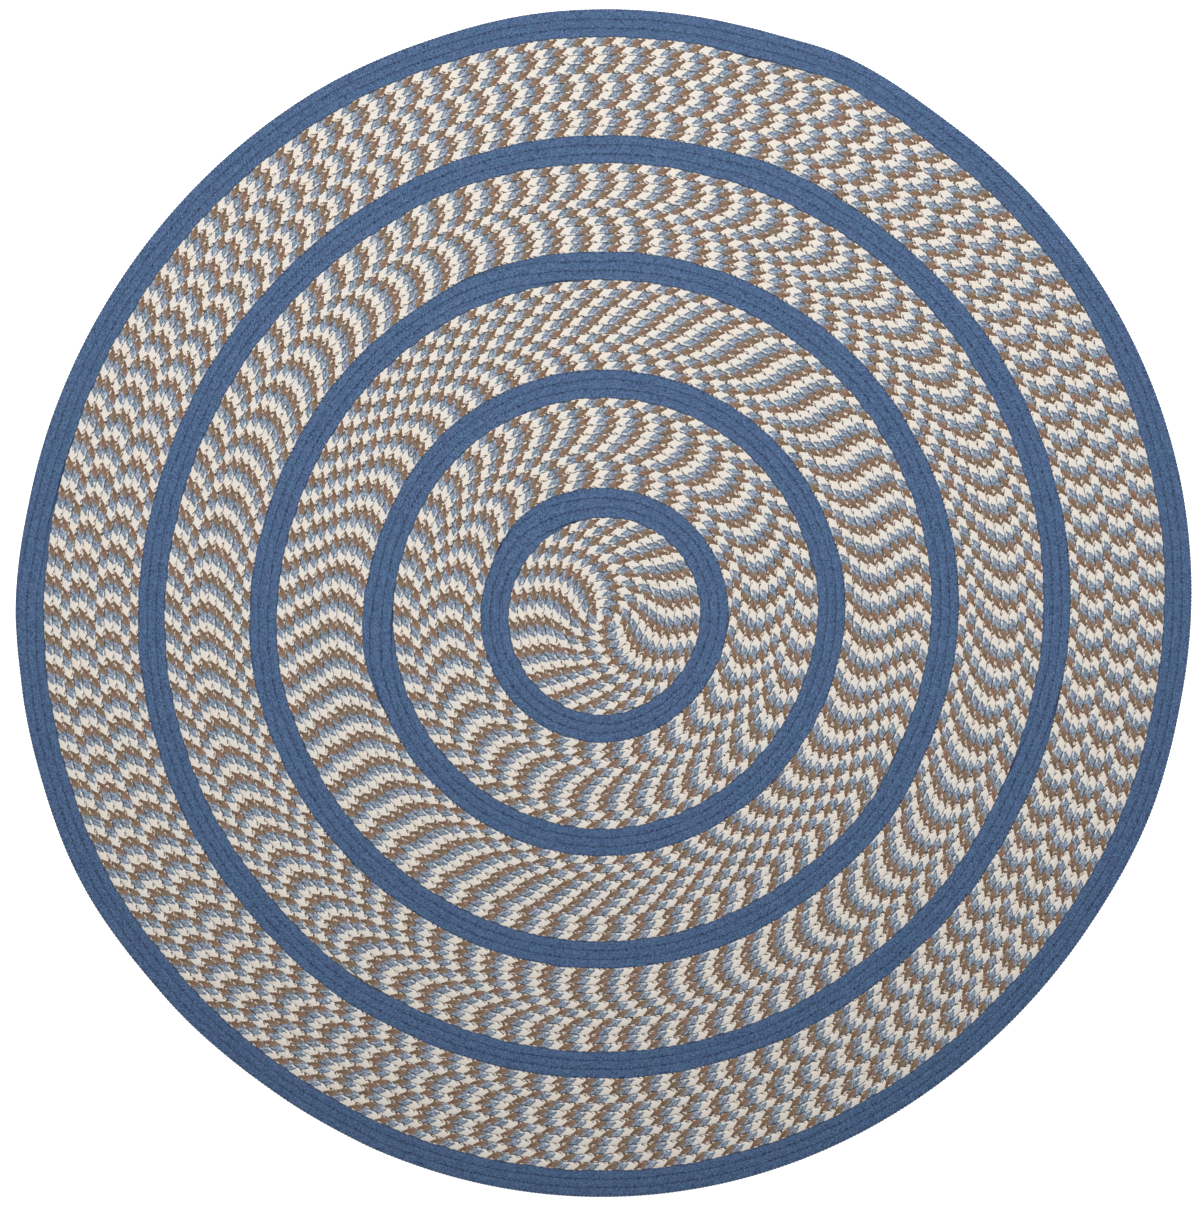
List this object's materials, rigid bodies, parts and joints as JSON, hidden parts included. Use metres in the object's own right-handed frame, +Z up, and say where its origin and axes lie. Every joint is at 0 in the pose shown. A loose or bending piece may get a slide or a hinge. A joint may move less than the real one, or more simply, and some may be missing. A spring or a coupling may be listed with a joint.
{
  "type": "round braided rug",
  "caption": "Round rug of flat braid wound outwards in a spiral, with plain blue rings between bands of mixed ivory, pale blue and brown braid.",
  "frame": {"origin": "on the underside, at the middle of the box around the rug's outline", "axes": "+Z up, +X to the right and +Y to the top of the rug as seen from above"},
  "size_m": [1.828, 1.8424, 0.01],
  "materials": {
    "mixed_braid": "matt wool braid of three strands: ivory, pale blue melange and brown",
    "blue_braid": "matt wool braid in mid blue, with a fine herringbone of yarns"
  },
  "bodies": {
    "root": {"centre_mixed": "mixed_braid", "ring1_blue": "blue_braid", "band1_mixed": "mixed_braid", "ring2_blue": "blue_braid", "band2_mixed": "mixed_braid", "ring3_blue": "blue_braid", "band3_mixed": "mixed_braid", "ring4_blue": "blue_braid", "band4_mixed": "mixed_braid", "border_blue": "blue_braid"}
  },
  "joints": []
}
